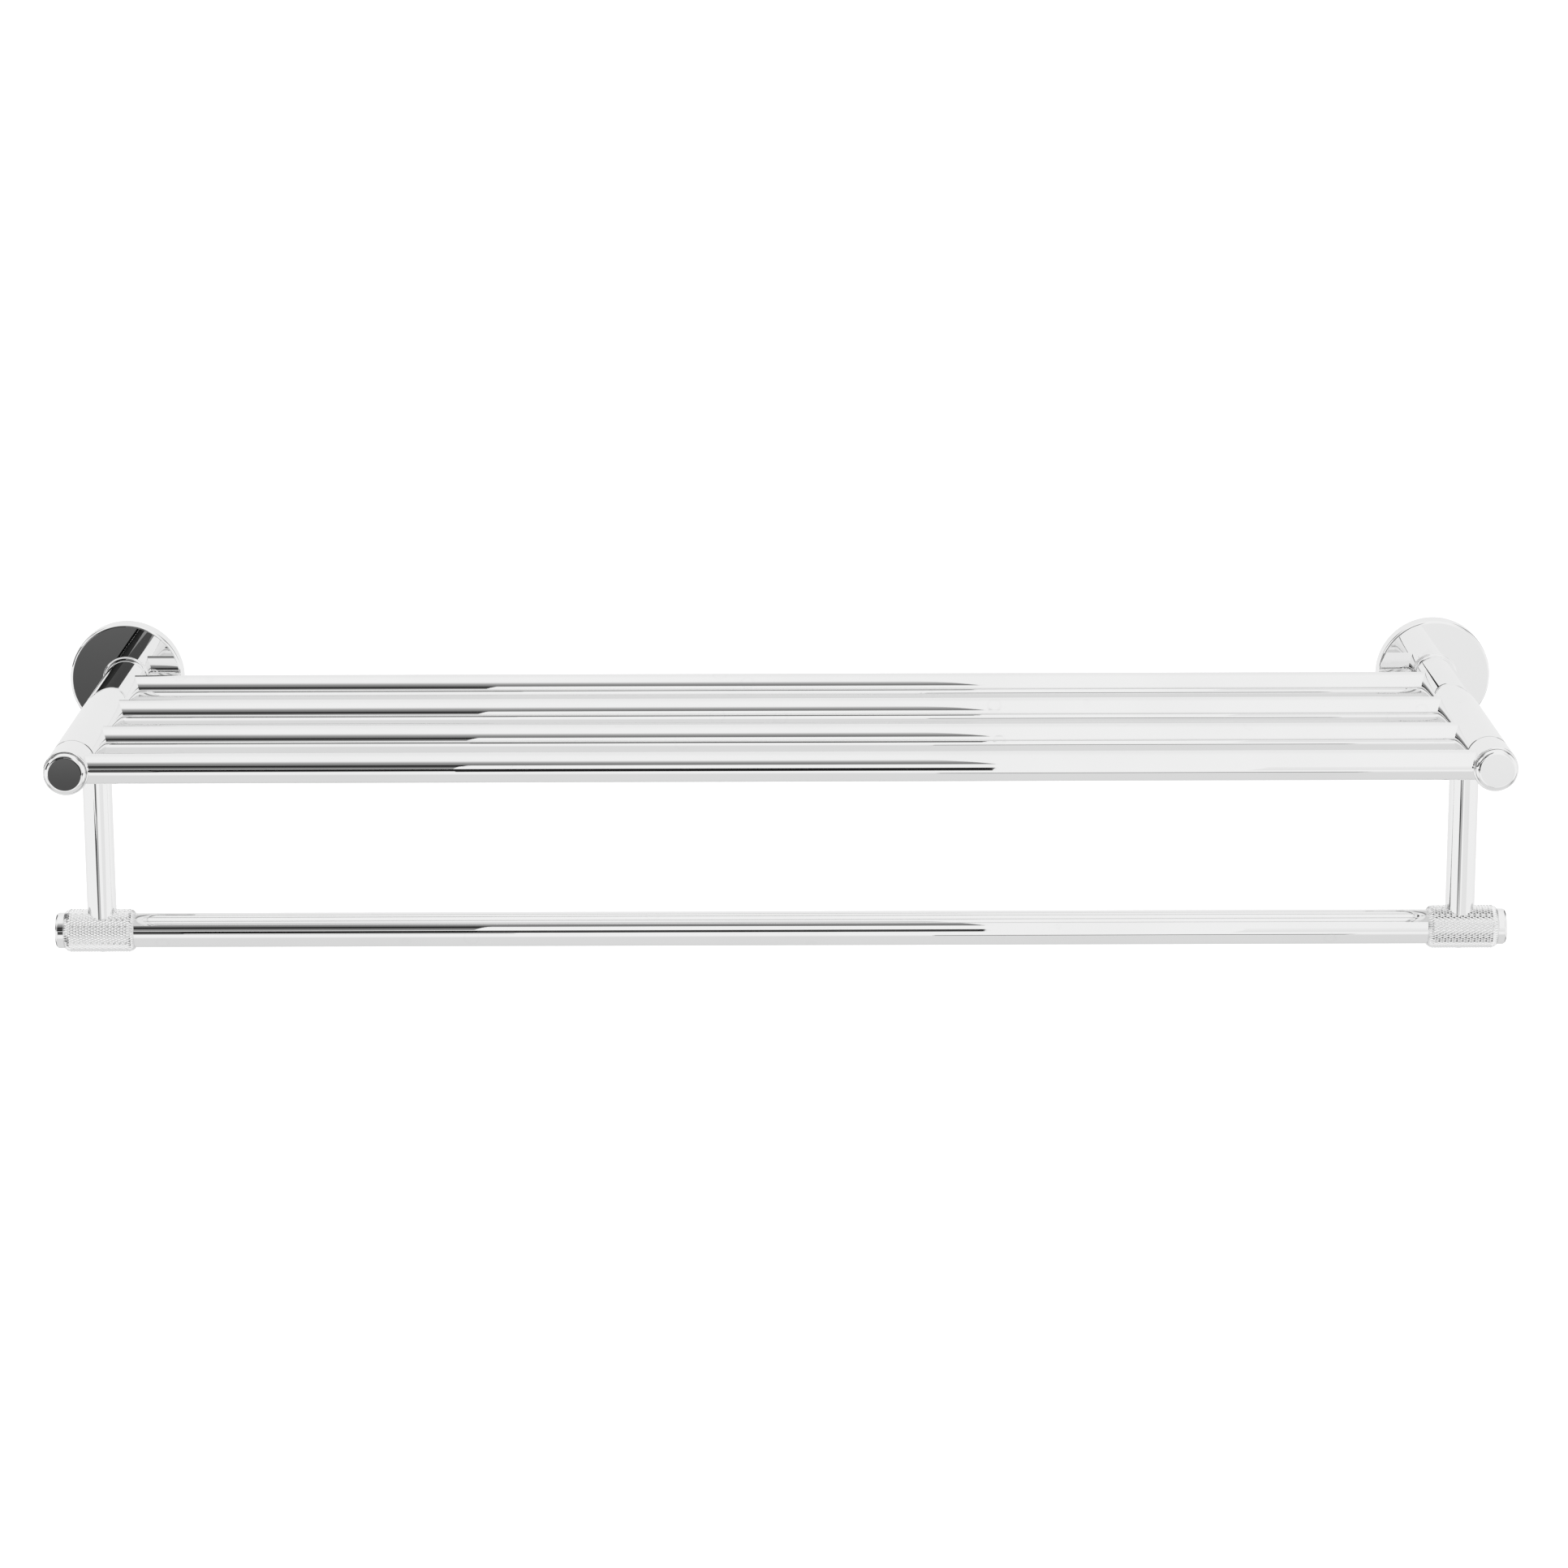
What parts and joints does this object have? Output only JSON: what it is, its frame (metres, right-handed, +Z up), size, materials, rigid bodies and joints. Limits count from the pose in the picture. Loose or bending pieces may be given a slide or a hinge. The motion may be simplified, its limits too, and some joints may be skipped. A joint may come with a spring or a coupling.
{
  "type": "towel rack",
  "caption": "Wall-mounted polished chrome towel rack: a shelf of parallel round tubes between two arms, with a towel bar hung below it in knurled sleeves.",
  "frame": {"origin": "on the wall plane, midway between the two arms, at the height of the arm axes; it is the centre of the four wall screws", "axes": "+X to the right along the rails as seen from the room, +Y into the wall, +Z up"},
  "size_m": [0.684, 0.2367, 0.1335],
  "materials": {
    "tube_chrome": "mirror-polished chrome plate on brass tube",
    "rosette_chrome": "mirror-polished chrome plate on a pressed brass cup",
    "cap_chrome": "polished chrome plate on turned brass",
    "knurled_chrome": "chrome plate over diamond knurling",
    "bracket_steel": "zinc-plated pressed steel",
    "screw_steel": "zinc-plated steel",
    "insert_brass": "turned brass, unplated"
  },
  "bodies": {
    "root": {"arm_end_left": "tube_chrome", "arm_end_right": "tube_chrome", "arm_left": "tube_chrome", "arm_plug_left": "insert_brass", "arm_plug_right": "insert_brass", "arm_right": "tube_chrome", "arm_screws": "screw_steel", "bar_end_cap_left": "cap_chrome", "bar_end_cap_right": "cap_chrome", "front_cap_left": "cap_chrome", "front_cap_right": "cap_chrome", "knurled_sleeve_left": "knurled_chrome", "knurled_sleeve_right": "knurled_chrome", "post_left": "tube_chrome", "post_lower_plugs": "insert_brass", "post_right": "tube_chrome", "post_screws": "screw_steel", "post_upper_plugs": "insert_brass", "rosette_grub_screws": "screw_steel", "rosette_left": "rosette_chrome", "rosette_right": "rosette_chrome", "shelf_rail_1": "tube_chrome", "shelf_rail_2": "tube_chrome", "shelf_rail_3": "tube_chrome", "shelf_rail_4": "tube_chrome", "sleeve_grub_screws": "screw_steel", "sleeve_screws": "screw_steel", "towel_bar": "tube_chrome", "wall_bracket_left": "bracket_steel", "wall_bracket_right": "bracket_steel", "wall_screws": "screw_steel"}
  },
  "joints": []
}
